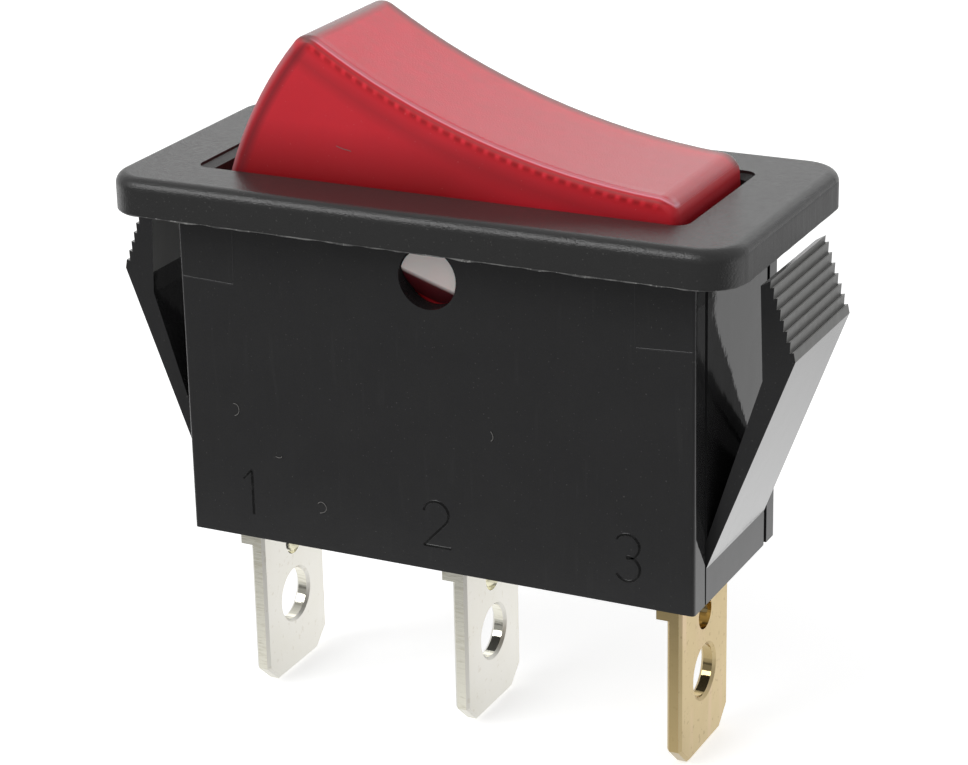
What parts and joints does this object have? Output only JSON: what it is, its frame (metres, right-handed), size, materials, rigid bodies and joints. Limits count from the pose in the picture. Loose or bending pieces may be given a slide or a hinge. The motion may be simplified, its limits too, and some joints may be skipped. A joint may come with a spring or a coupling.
{
  "type": "panel rocker switch",
  "caption": "Illuminated rocker switch that snaps into a panel cut-out, with a translucent red rocker, toothed wings and push-on blades",
  "frame": {"origin": "centre of the cover frame's underside, where the switch sits on its panel", "axes": "+X along the switch towards its pressed end, +Y across it, +Z out of the panel towards the user"},
  "size_m": [0.0366, 0.016, 0.0364],
  "materials": {
    "black_nylon": "satin moulded, glossier on the end walls",
    "red_translucent": "translucent tinted, frosted on top",
    "plunger_nylon": "natural nylon",
    "spring_steel": "drawn wire",
    "silvered_brass": "silver plated, sheared edges",
    "bare_brass": "bare, sheared edges",
    "contact_silver": "silver alloy",
    "bulb_glass": "clear",
    "tinned_wire": "tinned",
    "resistor_coating": "lacquered, colour banded"
  },
  "bodies": {
    "housing": {"housing": "black_nylon", "terminal_switched": "silvered_brass", "terminal_common": "silvered_brass", "terminal_lamp": "bare_brass", "fixed_contact": "contact_silver", "lamp_spring_a": "spring_steel", "lamp_spring_b": "spring_steel"},
    "rocker": {"rocker": "red_translucent", "lamp_bulb": "bulb_glass", "lamp_lead_a": "tinned_wire", "lamp_lead_b": "tinned_wire", "lamp_resistor": "resistor_coating", "resistor_lead": "tinned_wire", "plunger_spring": "spring_steel"},
    "plunger": {"plunger": "plunger_nylon"},
    "contact_lever": {"contact_lever": "silvered_brass", "moving_contact": "contact_silver"}
  },
  "joints": [
    {"name": "rocker_tilt", "type": "hinge", "parent": "housing", "child": "rocker", "pos_m": [0, 0, -0.0022], "axis": [0, -1, 0], "range_deg": [0, 36], "deforming": ["lamp_spring_a", "lamp_spring_b"]},
    {"name": "lever_tilt", "type": "hinge", "parent": "housing", "child": "contact_lever", "pos_m": [0, 0, -0.01027], "axis": [0, 1, 0], "range_deg": [0, 18]},
    {"name": "plunger_slide", "type": "slide", "parent": "rocker", "child": "plunger", "axis": [0.309, 0, 0.9511], "range_m": [-0.0006, 0.0008], "stiffness_N_per_m": 800, "springref_m": -0.002, "deforming": ["plunger_spring"]}
  ],
  "couplings": [
    {"joint": "lever_tilt", "follows": "rocker_tilt", "ratio": 0.5}
  ]
}
